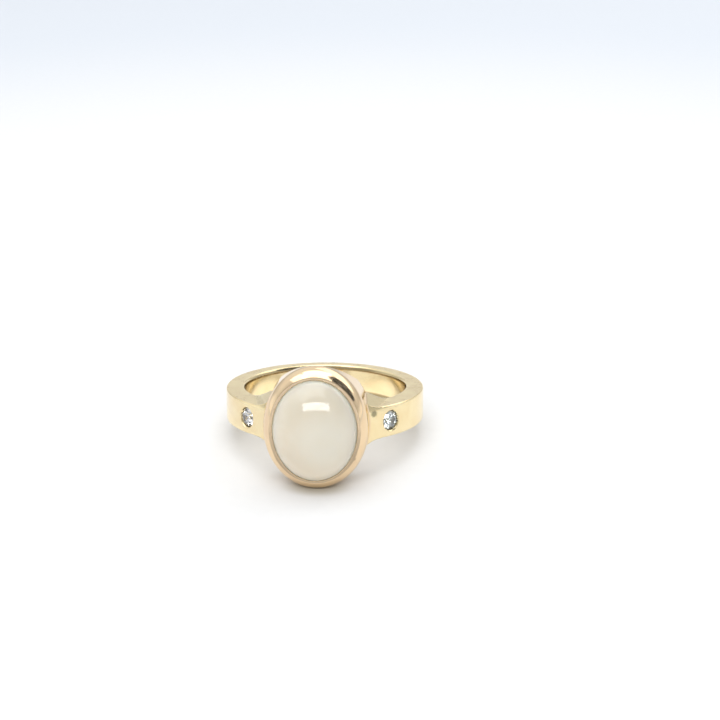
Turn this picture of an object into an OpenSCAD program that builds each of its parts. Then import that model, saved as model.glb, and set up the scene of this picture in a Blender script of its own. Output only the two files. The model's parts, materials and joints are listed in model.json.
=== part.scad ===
// Gold ring with an oval moonstone in a smooth bezel and a small brilliant in each shoulder.
// It lies on its side: the bezel's lower end and the back of the band touch the floor at z = 0.
// The stone faces -Y. All sizes are in millimetres.

/* [Band] */
// Radius of the finger hole
hole_r = 8.65; // [8.4:0.05:8.9]
// Width of the band along the finger
band_w = 3.3; // [3:0.1:3.6]
// Radius of the band's outer face
outer_r = 10.62; // [10.5:0.02:10.8]
// Distance that the outer face is moved towards the stone, so that the shoulders are thicker
outer_shift = 0.47; // [0.3:0.01:0.6]
// Rounding of the outer face's two long edges
edge_r = 0.12; // [0.08:0.01:0.16]
// Width that the rounding of the finger hole's two mouths takes off the band's side faces
mouth_w = 0.18; // [0.12:0.01:0.22]
// Depth of that rounding along the finger
mouth_depth = 0.45; // [0.3:0.05:0.55]

/* [Shoulder flare] */
// Where the flare starts on the wall of the finger hole, measured across the ring from its middle
flare_start = 7; // [6.8:0.05:7.2]
// Slope at which it rises towards the bezel, in degrees
flare_slope = 39; // [35:1:42]
// Turn of its starting line, so that it is lower at the outer face, in degrees
flare_turn = 15; // [12:1:18]
// Radius that blends it into the band's side face
flare_blend = 1.5; // [1.25:0.25:2]
// Half width of the band at the top of the flare
flare_half = 2.75; // [2.6:0.05:2.9]

/* [Bezel] */
// Half width of the bezel across the finger
bezel_a = 5.36; // [5.25:0.01:5.45]
// Half length of the bezel along the finger
bezel_c = 6.36; // [6.25:0.01:6.45]
// Distance of its widest section from the finger's axis
bezel_level = 11; // [10.9:0.05:11.2]
// Radius of the rounded wall that leans over the stone
lean_r = 1.84; // [1.7:0.02:2]
// Angle at which the leaning wall ends at the flat rim round the stone
rim_angle = 52; // [50:1:56]
// Rounding of the flat rim's outer edge
rim_edge_r = 0.08; // [0.05:0.01:0.12]
// How far the bezel's two ends draw in, for each millimetre towards the finger
end_taper = 0.27; // [0.25:0.01:0.3]
// Radius to which the drawn-in ends are rounded across the finger
end_r = 7; // [6.5:0.25:9]

/* [Moonstone] */
// Width of the cabochon
stone_w = 9; // [8.8:0.1:9.1]
// Length of the cabochon
stone_l = 11; // [10.8:0.1:11.1]
// Height of its dome above the girdle
dome_h = 3.6; // [3.4:0.1:3.8]
// Distance of the girdle from the finger's axis
girdle_level = 11.3; // [11.25:0.05:11.35]
// Distance of its flat base from the finger's axis
base_level = 10; // [9.8:0.1:10.2]
// Gap between a stone and the gold round it
stone_gap = 0.03; // [0.02:0.01:0.05]

/* [Side stones] */
// Diameter of each brilliant
side_d = 2; // [1.8:0.05:2.1]
// Angle of each brilliant from the middle of the bezel, about the outer face's centre
side_angle = 45; // [43:0.5:48]
// Width of the table as a share of the diameter
table_share = 0.57; // [0.5:0.01:0.62]
// Height of the crown as a share of the diameter
crown_share = 0.15; // [0.12:0.01:0.17]
// Depth of the pavilion as a share of the diameter
pavilion_share = 0.43; // [0.4:0.01:0.45]
// Thickness of the girdle as a share of the diameter
girdle_share = 0.03; // [0.02:0.005:0.04]
// How far the table stands proud of the gold
table_proud = 0.03; // [0:0.01:0.08]
// Width of the bright-cut edge round the seat
seat_edge = 0.12; // [0.08:0.01:0.16]

/* [Hidden] */
$fn = 120;

half_w = band_w / 2;
oval = bezel_c / bezel_a;
// Length of a cut that passes right through the ring
through = 4 * bezel_c;
// How much wider the finger hole is between the shoulders than at the band's side faces
mouth_step = 0.02;
// The bezel starts inside the finger hole, which cuts it to the finger's curve.
foot_level = 0.7 * hole_r;
// The bezel's ends draw in from just under its widest section.
end_level = bezel_level - 0.05;

// The ring leans on the bezel's lower end and on the rounded lower edge of the band's back.
back_y = outer_r - outer_shift - edge_r;
run = back_y + end_level;
rise = bezel_c - half_w + edge_r;
tilt = atan2(rise, run) - asin(edge_r / norm([run, rise]));
lift = bezel_c * cos(tilt) - end_level * sin(tilt);
// The origin is under the middle of the whole ring, from the dome's front to the band's back.
front_y = -girdle_level * cos(tilt) - norm([dome_h * cos(tilt), stone_l / 2 * sin(tilt)]);
rear_y = back_y * cos(tilt) + (half_w - edge_r) * sin(tilt) + edge_r;
shift_y = -(front_y + rear_y) / 2;

// A brilliant's eight main facets, and how far its star and lower facets reach, as shares of its radius
mains = 8;
star_share = 0.78;
lower_share = 0.3;
side_r = side_d / 2;
crown_h = crown_share * side_d;
pavilion_h = pavilion_share * side_d;
half_girdle = girdle_share * side_d / 2;

// Puts what is built about the finger's axis into the resting pose.
module at_rest() {
    translate([0, shift_y, lift]) rotate([-tilt, 0, 0]) children();
}

// Turns a solid that is built along +Z, from the finger's axis, to face the front of the ring.
module facing_front() {
    rotate([90, 0, 0]) children();
}

// Turns a solid that is built along +Z, with the gold's surface at z = 0, to a shoulder.
module at_shoulder(side) {
    translate([0, -outer_shift, 0])
        rotate([0, 0, side * side_angle])
            facing_front()
                translate([0, 0, outer_r])
                    children();
}

// A disc out to the band's outer face, with its edges rounded.
module round_disc(half) {
    translate([0, -outer_shift, 0])
        rotate_extrude() {
            translate([0, -half]) square([outer_r - edge_r, 2 * half]);
            translate([0, edge_r - half]) square([outer_r, 2 * (half - edge_r)]);
            for (s = [-1, 1])
                translate([outer_r - edge_r, s * (half - edge_r)]) circle(edge_r);
        }
}

// The finger hole. Where the band's side faces are, an arc that starts smoothly on the hole's wall
// opens it to a slightly wider radius, which goes on between the shoulders and behind the bezel.
module finger_bore() {
    arc_r = (mouth_depth * mouth_depth + mouth_w * mouth_w) / (2 * mouth_w);
    wide_r = hole_r + mouth_w + mouth_step;
    cylinder(r = hole_r, h = through, center = true);
    rotate_extrude()
        for (s = [0, 1]) mirror([0, s])
            translate([0, half_w - mouth_depth])
                difference() {
                    square([wide_r, through]);
                    translate([hole_r + arc_r, 0]) circle(arc_r);
                }
}

// Outline of the flare seen along its starting line, which is at [0, 0] on the band's side face:
// a slope towards -X that a concave arc blends into the side face.
module flare_profile() {
    blend_run = flare_blend * tan(flare_slope / 2);
    difference() {
        polygon([
            [-through, -through],
            [blend_run, -through],
            [blend_run, 0],
            blend_run * [-cos(flare_slope), sin(flare_slope)],
            through * [-cos(flare_slope), sin(flare_slope)]
        ]);
        translate([blend_run, flare_blend]) circle(flare_blend);
    }
}

// The band widens to both sides where it runs up to the bezel. The widened part is highest by
// the finger hole and falls towards the outer face.
module shoulder_flare() {
    start_level = sqrt(hole_r * hole_r - flare_start * flare_start);
    intersection() {
        round_disc(flare_half);
        translate([0, -through, -flare_half]) cube([through, through, 2 * flare_half]);
        intersection_for (s = [0, 1]) mirror([0, 0, s])
            translate([flare_start, -start_level, half_w])
                rotate([90, 0, -flare_turn])
                    linear_extrude(height = through, center = true) flare_profile();
    }
}

// Half section of the bezel: a straight wall, then one that leans over the stone to a flat rim.
module bezel_profile() {
    arc_x = bezel_a - lean_r;
    edge_reach = lean_r - rim_edge_r;
    edge_x = arc_x + edge_reach * cos(rim_angle);
    edge_y = bezel_level + edge_reach * sin(rim_angle);
    translate([0, foot_level]) square([bezel_a, bezel_level - foot_level]);
    translate([arc_x, bezel_level])
        intersection() {
            circle(lean_r);
            polygon(2 * lean_r * [[0, 0], [1, 0], [cos(rim_angle), sin(rim_angle)]]);
        }
    translate([edge_x, edge_y]) circle(rim_edge_r);
    translate([0, bezel_level]) square([edge_x, edge_y + rim_edge_r - bezel_level]);
}

// Outer form of the bezel: an oval cup whose two ends draw in towards the finger.
module bezel_body() {
    lean = atan(end_taper);
    intersection() {
        scale([1, oval, 1]) rotate_extrude() bezel_profile();
        intersection_for (s = [0, 1]) mirror([0, s, 0])
            translate([0, bezel_c - end_r / cos(lean), end_level])
                rotate([-lean, 0, 0])
                    cylinder(r = end_r, h = through, center = true);
    }
}

// The cabochon, made larger all round by a margin where it serves as its own seat.
module cabochon(margin = 0) {
    a = stone_w / 2 + margin;
    c = stone_l / 2 + margin;
    h = dome_h + margin;
    translate([0, 0, base_level - margin])
        scale([1, c / a, 1]) cylinder(r = a, h = girdle_level - base_level + margin);
    translate([0, 0, girdle_level])
        intersection() {
            scale([1, c / a, h / a]) sphere(a);
            translate([-c, -c, 0]) cube(2 * c);
        }
}

// A ring of points on a brilliant, its radius a share of the stone's.
function facet_ring(share, z, first, count) = [
    for (i = [0 : count - 1])
        let (t = first + i * 360 / count)
            [share * side_r * cos(t), share * side_r * sin(t), z]
];

// A round brilliant about its girdle, table up: the star and lower facets' tips lie in the planes
// of the main facets on either side of them.
module brilliant() {
    half_turn = 180 / mains;
    table_z = half_girdle + crown_h;
    culet_z = -half_girdle - pavilion_h;
    star_z = half_girdle + crown_h * (1 - star_share * cos(half_turn)) / (1 - table_share);
    lower_z = culet_z + pavilion_h * lower_share * cos(half_turn);
    points = concat(
        facet_ring(table_share, table_z, 0, mains),
        facet_ring(star_share, star_z, half_turn, mains),
        facet_ring(1, half_girdle, 0, 2 * mains),
        facet_ring(1, -half_girdle, 0, 2 * mains),
        facet_ring(lower_share, lower_z, half_turn, mains),
        [[0, 0, culet_z]]
    );
    hull() polyhedron(points, [[for (i = [0 : len(points) - 1]) i]]);
}

// The hole that a brilliant sits in, with a bright-cut edge that opens towards the surface.
module brilliant_seat() {
    r = side_r + stone_gap;
    ledge_z = table_proud - crown_h - 2 * half_girdle - stone_gap;
    edge_h = 3 * seat_edge;
    translate([0, 0, ledge_z]) cylinder(r = r, h = side_d);
    translate([0, 0, ledge_z - pavilion_h]) cylinder(r1 = 0, r2 = r, h = pavilion_h);
    translate([0, 0, -seat_edge]) cylinder(r1 = r, r2 = r + edge_h, h = edge_h);
}

module side_stone(side) {
    at_rest() at_shoulder(side)
        translate([0, 0, table_proud - crown_h - half_girdle])
            brilliant();
}

module band_and_bezel() {
    color("#f0d9a0") at_rest()
        difference() {
            union() {
                round_disc(half_w);
                facing_front() bezel_body();
                for (s = [0, 1]) mirror([s, 0, 0]) shoulder_flare();
            }
            finger_bore();
            facing_front() cabochon(stone_gap);
            for (side = [-1, 1]) at_shoulder(side) brilliant_seat();
        }
}

module moonstone() {
    color("#e8e0d2") at_rest() facing_front() cabochon();
}

module side_stone_left() {
    color("#b8c4c8") side_stone(-1);
}

module side_stone_right() {
    color("#b8c4c8") side_stone(1);
}

band_and_bezel();
moonstone();
side_stone_left();
side_stone_right();
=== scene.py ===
"""Looks of a gold ring with a moonstone that lies on its side on a pale table."""
import json
import math

import bpy
from mathutils import Matrix, Vector

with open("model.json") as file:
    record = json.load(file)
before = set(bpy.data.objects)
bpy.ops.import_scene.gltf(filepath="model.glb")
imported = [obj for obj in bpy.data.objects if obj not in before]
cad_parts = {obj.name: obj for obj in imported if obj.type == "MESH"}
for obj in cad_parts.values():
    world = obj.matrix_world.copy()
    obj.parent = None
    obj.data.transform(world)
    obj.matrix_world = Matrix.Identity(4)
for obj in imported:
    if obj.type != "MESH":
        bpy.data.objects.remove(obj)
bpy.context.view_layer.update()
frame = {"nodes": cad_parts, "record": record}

MM = 0.001
METAL = ("band_and_bezel",)
STONES = ("moonstone", "side_stone_left", "side_stone_right")

# The ring's own axes, read from the finger hole: across, back (away from the stone) and along the finger
HOLE = frame["record"]["mounts"][0]
CENTRE = Vector(HOLE["pos_m"])
FINGER = Vector(HOLE["axis"]).normalized()
ACROSS = Vector((1, 0, 0))
BACK = FINGER.cross(ACROSS)
# How far the finger's axis leans back from upright
LEAN = math.atan2(FINGER.y, FINGER.z)

# Sizes and places in these axes, in millimetres from the middle of the finger hole
HOLE_RADIUS = HOLE["dims"]["r_mm"]
HALF_BAND = 1.65
# Half the width and half the length of the bezel's oval and of the moonstone's
BEZEL_OVAL = (5.36, 6.36)
STONE_OVAL = (4.5, 5.5)
# A small dull spot on the right shoulder, beside the bezel
SPOT = (5.82, -9.40, 1.02)
# The middle of the moonstone's painted glow, a paler tone in its colour
STONE_PAINTED_GLOW = (0.9, -14.0, -0.4)

# The table, in metres: its radius, and where the bezel's lower end touches it
TABLE_RADIUS = 1.5
TOUCH = (0, -9.8 * MM, 0)

# The photo's view: where in the photo the middle of the band's upper rim is, how far away it is in metres,
# and how far the view is above the band's side face, to the right of the stone, and rolled
PHOTO_PX = 720
FOCAL_PX = 1382.6
RIM_PX = (325.4, 384.1)
DISTANCE = 0.150
ABOVE_BAND = math.radians(14.5)
TO_THE_RIGHT = math.radians(5.07)
ROLL = math.radians(-0.2)
SENSOR_MM = 36.0
NEAREST = 0.01
FARTHEST = 10


def add_camera():
    """A camera that sees the middle of the band's upper rim where the photo does."""
    data = bpy.data.cameras.new("camera")
    data.sensor_width = SENSOR_MM
    data.lens = FOCAL_PX / PHOTO_PX * SENSOR_MM
    data.clip_start = NEAREST
    data.clip_end = FARTHEST
    camera = bpy.data.objects.new("camera", data)
    bpy.context.scene.collection.objects.link(camera)
    bpy.context.scene.camera = camera

    to_right = ACROSS * math.cos(TO_THE_RIGHT) + BACK * math.sin(TO_THE_RIGHT)
    to_viewer = (ACROSS * math.sin(TO_THE_RIGHT) - BACK * math.cos(TO_THE_RIGHT)) * math.cos(ABOVE_BAND)
    to_viewer += FINGER * math.sin(ABOVE_BAND)
    to_top = to_viewer.cross(to_right)
    level = Matrix((to_right * math.cos(ROLL) + to_top * math.sin(ROLL),
                    to_top * math.cos(ROLL) - to_right * math.sin(ROLL), to_viewer))
    half = PHOTO_PX / 2
    towards = Vector((RIM_PX[0] - half, half - RIM_PX[1], -FOCAL_PX)).normalized()
    turned = Vector((0, 0, -1)).rotation_difference(towards).to_matrix() @ level
    place = CENTRE + FINGER * (HALF_BAND * MM) + to_viewer * DISTANCE
    camera.matrix_world = Matrix.Translation(place) @ turned.transposed().to_4x4()


class Nodes:
    """Short forms for the nodes of one node tree."""

    def __init__(self, tree):
        self.tree = tree
        self.tree.nodes.clear()

    def node(self, kind, inputs=None, **settings):
        made = self.tree.nodes.new("ShaderNode" + kind)
        for key, value in settings.items():
            setattr(made, key, value)
        for key, value in (inputs or {}).items():
            self.plug(made.inputs[key], value)
        return made

    def plug(self, socket, value):
        if isinstance(value, bpy.types.NodeSocket):
            self.tree.links.new(value, socket)
        else:
            socket.default_value = value

    def math(self, operation, a, b=0.0):
        return self.node("Math", {0: a, 1: b}, operation=operation).outputs[0]

    def add(self, a, b):
        return self.math("ADD", a, b)

    def times(self, a, b):
        return self.math("MULTIPLY", a, b)

    def length(self, a, b):
        return self.math("SQRT", self.add(self.times(a, a), self.times(b, b)))

    def reach(self, a, b, oval):
        """0 in the middle of an oval, given by its two half sizes, and 1 on the oval itself."""
        return self.length(self.math("DIVIDE", a, oval[0]), self.math("DIVIDE", b, oval[1]))

    def vector(self, operation, inputs):
        """What a sum on vectors gives: its Vector or, where the result is a number, its Value."""
        return self.node("VectorMath", inputs, operation=operation).outputs

    def parts(self, vector):
        """The three parts of a vector."""
        return self.node("SeparateXYZ", {"Vector": vector}).outputs

    def noise(self, vector, scale, detail=3.0):
        made = self.node("TexNoise", {"Vector": vector, "Scale": scale, "Detail": detail})
        return made.outputs["Fac"]

    def fade(self, value, start, full, low=0.0, high=1.0):
        """Runs softly from low, where the value is at start, to high, where it is at full."""
        made = self.node("MapRange", {"Value": value, "From Min": start, "From Max": full,
                                      "To Min": low, "To Max": high},
                         interpolation_type="SMOOTHSTEP")
        return made.outputs["Result"]

    def mix_numbers(self, share, a, b):
        """Number a where share is 0, b where it is 1."""
        return self.node("Mix", {0: share, 2: a, 3: b}).outputs[0]

    def mix(self, share, a, b):
        """Colour a where share is 0, b where it is 1."""
        return self.node("Mix", {0: share, 6: a, 7: b}, data_type="RGBA").outputs[2]


class Shader(Nodes):
    """The nodes of one material."""

    def __init__(self, name):
        self.material = bpy.data.materials.new(name)
        self.material.use_nodes = True
        super().__init__(self.material.node_tree)

    def object_place(self):
        """A point's place in metres, from its object's origin."""
        return self.node("TexCoord").outputs["Object"]

    def ring_place(self):
        """A point's place in the ring's own axes, in millimetres from the middle of the finger hole."""
        return self.node("Mapping", {"Vector": self.object_place(), "Location": CENTRE,
                                     "Rotation": (-LEAN, 0, 0), "Scale": (MM, MM, MM)},
                         vector_type="TEXTURE").outputs["Vector"]

    def bump(self, height, distance, **more):
        """The normal over a relief whose height of 1 stands for that distance in metres."""
        made = self.node("Bump", {"Strength": 1.0, "Distance": distance, "Height": height, **more})
        return made.outputs["Normal"]

    def principled(self, inputs):
        surface = self.node("BsdfPrincipled", inputs)
        self.node("OutputMaterial", {"Surface": surface.outputs["BSDF"]})
        return self.material


def colour(red, green, blue):
    return (red, green, blue, 1.0)


class Gold(Shader):
    """The gold of the band and the bezel. Its zones and its wear are shares from 0 to 1."""

    def __init__(self):
        super().__init__("gold")
        self.place = self.ring_place()
        self.across, self.back, self.up = self.parts(self.place)
        self.radius = self.length(self.across, self.back)
        self.from_middle = self.math("ABSOLUTE", self.up)

        # How far the surface faces along the finger: 1 on the band's flat side faces, 0 on its outer face
        normal = self.node("NewGeometry").outputs["Normal"]
        self.facing = self.math("ABSOLUTE", self.vector("DOT_PRODUCT", {0: normal, 1: FINGER})["Value"])
        self.side_face = self.fade(self.facing, start=0.93, full=0.985)

        # The bezel is the part within its oval, in front of the finger hole
        in_oval = self.fade(self.reach(self.across, self.up, BEZEL_OVAL), start=1.03, full=1.005)
        self.bezel = self.times(in_oval, self.fade(self.back, start=-5.5, full=-6.5))

        # Cloudy wear, a fine grain and long thin scratches
        self.cloud = self.noise(self.place, scale=0.55, detail=2.0)
        self.grain = self.noise(self.place, scale=9.0, detail=4.0)
        wear = self.add(self.times(self.cloud, 0.7), self.times(self.grain, 0.3))
        self.worn = self.fade(wear, start=0.35, full=0.65)
        drawn_out = self.node("Mapping", {"Vector": self.place, "Rotation": (0.3, 0.5, 0.9),
                                          "Scale": (1.5, 30.0, 30.0)}).outputs["Vector"]
        self.scratches = self.fade(self.noise(drawn_out, scale=1.0, detail=1.0), start=0.62, full=0.7)

    def brushing(self):
        """Fine lines round the finger: their pattern changes slowly along them and fast across them."""
        along = 4.0
        over = 16.0
        turn = self.math("ARCTAN2", self.across, self.back)
        lines = self.node("CombineXYZ", {0: self.times(turn, along), 1: self.times(self.radius, over),
                                         2: self.times(self.up, over)}).outputs["Vector"]
        return self.noise(lines, scale=1.0)

    def dull_spot(self):
        from_spot = self.vector("DISTANCE", {0: self.place, 1: SPOT})["Value"]
        return self.fade(self.add(from_spot, self.times(self.grain, 0.3)), start=0.6, full=0.34)

    def painted_dark_reflection_line(self):
        """A painted dark reflection along the line where the finger hole's two mouths start to round off.
        """
        inner_edge = self.fade(self.from_middle, start=1.05, full=1.2)
        outer_edge = self.fade(self.from_middle, start=1.6, full=1.4)
        radius = self.add(self.radius, self.times(self.grain, 0.06))
        on_wall = self.fade(radius, start=HOLE_RADIUS + 0.2, full=HOLE_RADIUS + 0.13)
        return self.times(self.times(inner_edge, outer_edge), on_wall)

    def tone(self):
        """Pale yellow on the band and a little redder on the bezel, with the dull spot and a painted dark
        reflection along the finger hole's mouths.
        """
        band = self.mix(self.worn, colour(0.89, 0.715, 0.41), colour(0.93, 0.785, 0.48))
        bezel = self.mix(self.worn, colour(0.84, 0.635, 0.405), colour(0.87, 0.67, 0.43))
        dull = colour(0.33, 0.29, 0.17)
        reflection_brown = colour(0.42, 0.32, 0.17)
        tone = self.mix(self.bezel, band, bezel)
        tone = self.mix(self.times(self.dull_spot(), 0.95), tone, dull)
        # A painted dark reflection, brown, along the mouths of the finger hole
        return self.mix(self.times(self.painted_dark_reflection_line(), 0.8), tone, reflection_brown)

    def roughness(self):
        """Duller where the gold is worn or scratched and on the side faces, glossier on the bezel."""
        rough = self.fade(self.worn, start=0, full=1, low=0.12, high=0.18)
        for share, more in ((self.side_face, 0.15), (self.bezel, -0.05), (self.scratches, 0.12)):
            rough = self.add(rough, self.times(share, more))
        return rough

    def relief(self):
        """Dents and grain, brushing that is deeper on the side faces, and sunk scratches."""
        height = self.add(self.cloud, self.times(self.grain, 0.12))
        brushing_depth = self.fade(self.side_face, start=0, full=1, low=0.015, high=0.06)
        height = self.add(height, self.times(self.brushing(), brushing_depth))
        return self.add(height, self.times(self.scratches, -0.03))

    def rubbed_normal(self):
        """Every edge is rubbed round, and the shoulders' outer faces curve towards their long edges."""
        edge_radius = self.fade(self.radius, start=9.3, full=8.9, low=0.12 * MM, high=0.25 * MM)
        soft_edge = self.node("Bevel", {"Radius": edge_radius}, samples=8).outputs["Normal"]
        beside_bezel = self.fade(self.back, start=-1.5, full=-7.0)
        outer_face = self.fade(self.facing, start=0.7, full=0.4)
        near_edge = self.fade(self.from_middle, start=0.95, full=1.75)
        shoulder = self.times(self.times(beside_bezel, outer_face), near_edge)
        shoulder = self.times(shoulder, self.math("SUBTRACT", 1.0, self.bezel))
        lean = self.times(self.times(shoulder, self.math("SIGN", self.up)), 0.3)
        leaning = self.vector("SCALE", {0: FINGER, "Scale": lean})["Vector"]
        rubbed = self.vector("ADD", {0: soft_edge, 1: leaning})["Vector"]
        return self.vector("NORMALIZE", {0: rubbed})["Vector"]


def gold():
    s = Gold()
    normal = s.bump(s.relief(), 0.006 * MM, Normal=s.rubbed_normal())
    return s.principled({"Base Color": s.tone(), "Metallic": 1.0, "Roughness": s.roughness(),
                         "Normal": normal})


def moonstone():
    """Milky stone that lets light in. Its colour holds painted light: lighter and warmer at its lower end
    to even out its shading, a painted glow in its middle and a painted highlight round its edge.
    """
    s = Shader("moonstone")
    place = s.ring_place()
    across, _, up = s.parts(place)
    cloud = s.noise(place, scale=0.3)

    # Painted light: a lighter, warmer colour at the lower end evens out the shading; the cloud adds random
    # tone
    lower_end_painted_lighter = colour(0.845, 0.74, 0.59)
    upper_end = colour(0.785, 0.72, 0.59)
    to_upper_end = s.fade(up, start=-STONE_OVAL[1], full=STONE_OVAL[1], high=0.8)
    tone = s.mix(s.add(to_upper_end, s.times(cloud, 0.2)), lower_end_painted_lighter, upper_end)

    # A painted glow: the middle of the stone is painted paler
    painted_glow_middle = colour(0.90, 0.845, 0.73)
    from_painted_glow = s.add(s.vector("DISTANCE", {0: place, 1: STONE_PAINTED_GLOW})["Value"], s.times(cloud, 0.8))
    tone = s.mix(s.fade(from_painted_glow, start=4.6, full=1.6, high=0.9), tone, painted_glow_middle)

    # A painted highlight: the stone is painted paler round its edge
    painted_edge_highlight = colour(0.99, 0.925, 0.75)
    reach = s.reach(across, up, STONE_OVAL)
    tone = s.mix(s.fade(reach, start=0.87, full=0.945, high=0.8), tone, painted_edge_highlight)

    ripple = s.bump(s.noise(place, scale=1.5, detail=2.0), 0.0004 * MM)
    return s.principled({"Base Color": tone, "Roughness": 0.04, "IOR": 1.52,
                         "Subsurface Weight": 1.0, "Subsurface Radius": (1.0, 0.96, 0.9),
                         "Subsurface Scale": 2.5 * MM, "Normal": ripple})


def brilliant(name, deep, pale):
    """A clear stone whose tint drifts between two colours. The grey-blue tint is painted shade for the dark
    surroundings the stone would mirror.
    """
    s = Shader(name)
    tone = s.mix(s.noise(s.ring_place(), scale=4.0, detail=2.0), deep, pale)
    return s.principled({"Base Color": tone, "Roughness": 0.02, "IOR": 2.3, "Transmission Weight": 1.0})


def table_paper():
    """Pale paper, with painted shade and bluish light far from the ring and a painted contact shadow under
    the bezel.
    """
    s = Shader("table_paper")
    place = s.object_place()
    x, y, _ = s.parts(place)
    grain = s.noise(place, scale=900.0, detail=4.0)
    near_tone = s.mix(grain, colour(0.73, 0.73, 0.73), colour(0.76, 0.76, 0.76))
    # Painted shade: the paper is painted darker and bluer far from the ring
    far_painted_shade = s.mix(grain, colour(0.635, 0.665, 0.71), colour(0.655, 0.685, 0.73))
    tone = s.mix(s.fade(s.length(x, y), start=0.11, full=0.21), near_tone, far_painted_shade)

    # A painted contact shadow, dark and warm, on the paper where the bezel touches it, in an oval of these
    # half sizes
    contact_shadow_oval = (4 * MM, 2.2 * MM, 1)
    tint = colour(0.37, 0.33, 0.22)
    from_touch = s.node("Mapping", {"Vector": place, "Location": TOUCH, "Scale": contact_shadow_oval},
                        vector_type="TEXTURE").outputs["Vector"]
    reach = s.vector("LENGTH", {0: from_touch})["Value"]
    # The painted contact shadow is mixed into the paper's colour
    tone = s.mix(s.fade(reach, start=1.0, full=0.3, high=0.6), tone, tint)
    return s.principled({"Base Color": tone, "Roughness": 0.7, "Specular IOR Level": 0.2,
                         "Normal": s.bump(grain, 0.02 * MM, Strength=0.3)})


def card_paper(name, grey, patches):
    """Paper of one grey, with paler patches where patches is above 0."""
    s = Shader(name)
    place = s.object_place()
    duller = colour(grey * 0.95, grey * 0.95, grey)
    bluer = colour(grey, grey, grey * 1.05)
    tone = s.mix(s.noise(place, scale=200.0, detail=2.0), duller, bluer)
    if patches:
        patch = s.fade(s.noise(place, scale=18.0, detail=4.0), start=0.46, full=0.62, high=patches)
        tone = s.mix(patch, tone, colour(0.8, 0.8, 0.82))
    return s.principled({"Base Color": tone, "Roughness": 0.9})


def rectangle(width, height):
    return [(width / 2 * x, height / 2 * y) for x, y in ((-1, -1), (1, -1), (1, 1), (-1, 1))]


def oval(width, height, turns=48):
    return [(width / 2 * math.cos(2 * math.pi * i / turns), height / 2 * math.sin(2 * math.pi * i / turns))
            for i in range(turns)]


def fan(near, far, half_angle, steps=16):
    """Part of a disc in front of the ring, between two distances from its middle."""
    turns = [math.radians(half_angle * (2 * i / steps - 1)) for i in range(steps + 1)]
    outer = [(far * math.sin(a), -far * math.cos(a)) for a in turns]
    inner = [(near * math.sin(a), -near * math.cos(a)) for a in reversed(turns)]
    return inner + outer


def mesh_object(name, points, faces, material):
    """A flat mesh of points in its own plane."""
    mesh = bpy.data.meshes.new(name)
    mesh.from_pydata([(x, y, 0) for x, y in points], [], faces)
    mesh.update()
    made = bpy.data.objects.new(name, mesh)
    bpy.context.scene.collection.objects.link(made)
    made.data.materials.append(material)
    return made


def add_table():
    """A round pale table top, made of thin slices round its middle."""
    rim = oval(2 * TABLE_RADIUS, 2 * TABLE_RADIUS, turns=96)
    slices = [(0, 1 + i, 1 + (i + 1) % len(rim)) for i in range(len(rim))]
    mesh_object("table", [(0, 0)] + rim, slices, table_paper())


def aimed_at_ring(azimuth, elevation, distance):
    """A place at that azimuth (0 in front, 90 to the right) and elevation, whose +Z points outwards."""
    a = math.radians(azimuth)
    e = math.radians(elevation)
    out = Vector((math.sin(a) * math.cos(e), -math.cos(a) * math.cos(e), math.sin(e)))
    turn = out.to_track_quat("Z", "Y").to_matrix().to_4x4()
    return Matrix.Translation(out * distance) @ turn


def add_softbox(name, place, width, height, radiance, only_on=(), only_shine=False, is_round=False):
    """A flat rectangular or oval light. Its radiance is what it adds in a mirror."""
    data = bpy.data.lights.new(name, "AREA")
    data.shape = "ELLIPSE" if is_round else "RECTANGLE"
    data.size = width
    data.size_y = height
    area = width * height * (math.pi / 4 if is_round else 1)
    data.energy = radiance * math.pi * area
    light = bpy.data.objects.new(name, data)
    bpy.context.scene.collection.objects.link(light)
    light.matrix_world = place
    light.visible_camera = False
    light.visible_diffuse = not only_shine
    if only_on:
        lit = bpy.data.collections.new(name + "_lights")
        for name_on in only_on:
            lit.objects.link(bpy.data.objects[name_on])
        light.light_linking.receiver_collection = lit


def add_card(name, place, outline, grey, patches=0.0, only_mirrored=False):
    """A flat card that the gold and the stones mirror, out of the camera's sight."""
    card = mesh_object(name, outline, [tuple(range(len(outline)))], card_paper(name, grey, patches))
    card.matrix_world = place
    card.visible_camera = False
    if only_mirrored:
        card.visible_diffuse = False
        card.visible_transmission = False
        card.visible_shadow = False


def add_lights():
    """Softboxes round the ring, with angles in degrees and sizes in metres."""
    add_softbox("overhead", aimed_at_ring(azimuth=0, elevation=90, distance=0.6),
                width=0.56, height=0.56, radiance=1.5)
    add_softbox("left_panel", aimed_at_ring(azimuth=-70, elevation=57, distance=0.5),
                width=0.42, height=0.18, radiance=1.2, only_on=METAL + STONES)
    add_softbox("back_panel", aimed_at_ring(azimuth=140, elevation=42, distance=0.65),
                width=0.8, height=0.4, radiance=0.8)
    add_softbox("front_light", aimed_at_ring(azimuth=4, elevation=45, distance=0.5),
                width=0.62, height=0.13, radiance=5.5, only_on=("table",))
    add_softbox("stone_shine", aimed_at_ring(azimuth=4, elevation=46, distance=0.5),
                width=0.58, height=0.135, radiance=8.0, only_on=STONES, only_shine=True)

    # The bright table inside the ring, as the wall of the finger hole mirrors it
    facing_up = Matrix.Translation((-1.0 * MM, CENTRE.y, 0.4 * MM)) @ Matrix.Rotation(math.pi, 4, "X")
    add_softbox("floor_glow", facing_up, width=14 * MM, height=15.4 * MM, radiance=0.36,
                only_on=METAL, only_shine=True, is_round=True)


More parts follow.
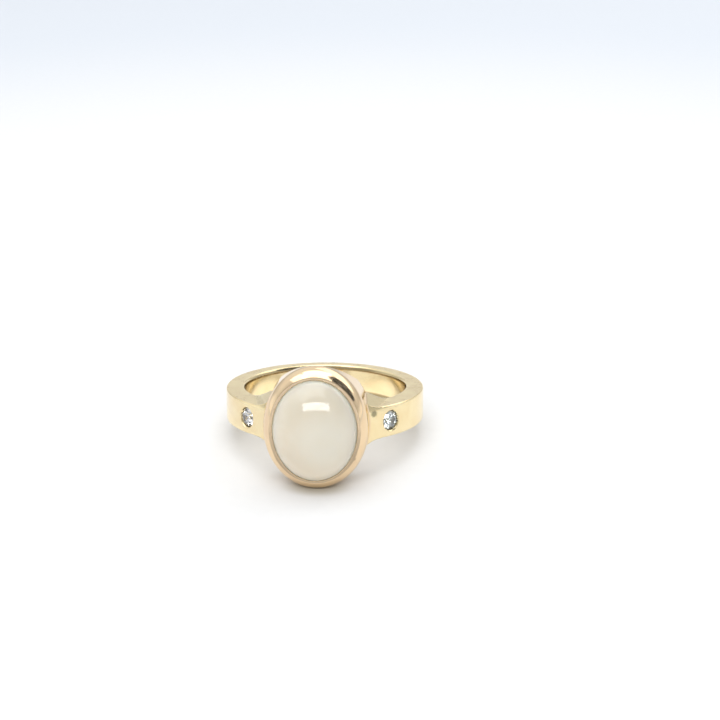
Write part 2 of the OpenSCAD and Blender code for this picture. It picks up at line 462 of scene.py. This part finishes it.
def add_cards():
    """Cards that the ring mirrors, with angles in degrees and sizes in metres."""
    add_card("dark_card", aimed_at_ring(azimuth=80, elevation=46, distance=0.42),
             oval(0.27, 0.40), grey=0.07, patches=0.35)
    add_card("low_card", aimed_at_ring(azimuth=0, elevation=8, distance=0.12),
             rectangle(0.2, 0.05), grey=0.77, only_mirrored=True)

    # Painted shade: grey sheets, seen only in mirrors, stand for the floor in front of the ring and to its
    # left, darker than the lit paper
    on_table = Matrix.Translation((0, 0, 0.3 * MM))
    add_card("floor_card", on_table,
             fan(near=0.0135, far=0.1, half_angle=35), grey=0.5, only_mirrored=True)
    to_the_left = on_table @ Matrix.Rotation(math.radians(-95), 4, "Z")
    add_card("left_floor_card", to_the_left,
             fan(near=0.016, far=0.09, half_angle=40), grey=0.9, only_mirrored=True)


def add_room():
    """Soft light from all round, brighter behind and low at both sides. The camera sees it as one tone."""
    in_front = 0.58
    low_glow = 0.55
    seen_by_camera = 0.93
    world = bpy.data.worlds.new("room")
    bpy.context.scene.world = world
    world.use_nodes = True
    s = Nodes(world.node_tree)
    x, y, up = s.parts(s.node("TexCoord").outputs["Generated"])
    behind = s.fade(y, start=-0.45, full=0.1)
    strength = s.mix_numbers(behind, in_front, s.fade(up, start=0.05, full=0.5, low=0.65, high=1.0))

    # The low glow reaches higher at the far left
    at_side = s.fade(s.math("ABSOLUTE", x), start=0.8, full=0.97)
    glow_top = s.fade(x, start=-0.88, full=-0.97, low=0.2, high=0.42)
    glow = s.times(at_side, s.fade(up, start=glow_top, full=0.03))
    strength = s.add(strength, s.times(glow, low_glow))

    for_camera = s.node("LightPath").outputs["Is Camera Ray"]
    strength = s.mix_numbers(for_camera, strength, seen_by_camera)
    room = s.node("Background", {"Color": colour(0.96, 0.98, 1.0), "Strength": strength})
    s.node("OutputWorld", {"Surface": room.outputs["Background"]})


def dress(name, material):
    """Gives a piece of the ring its material."""
    node = frame["nodes"][name]
    node.data.materials.clear()
    node.data.materials.append(material)


add_camera()
add_room()
add_table()
add_lights()
add_cards()

dress("band_and_bezel", gold())
dress("moonstone", moonstone())
dress("side_stone_left", brilliant("pale_brilliant", colour(0.90, 0.92, 0.96), colour(0.95, 0.96, 0.99)))
# The right stone's darker grey tint is painted shade
dress("side_stone_right", brilliant("grey_brilliant_painted_shade", colour(0.58, 0.64, 0.645), colour(0.62, 0.67, 0.675)))

bpy.context.scene.view_settings.view_transform = "Standard"
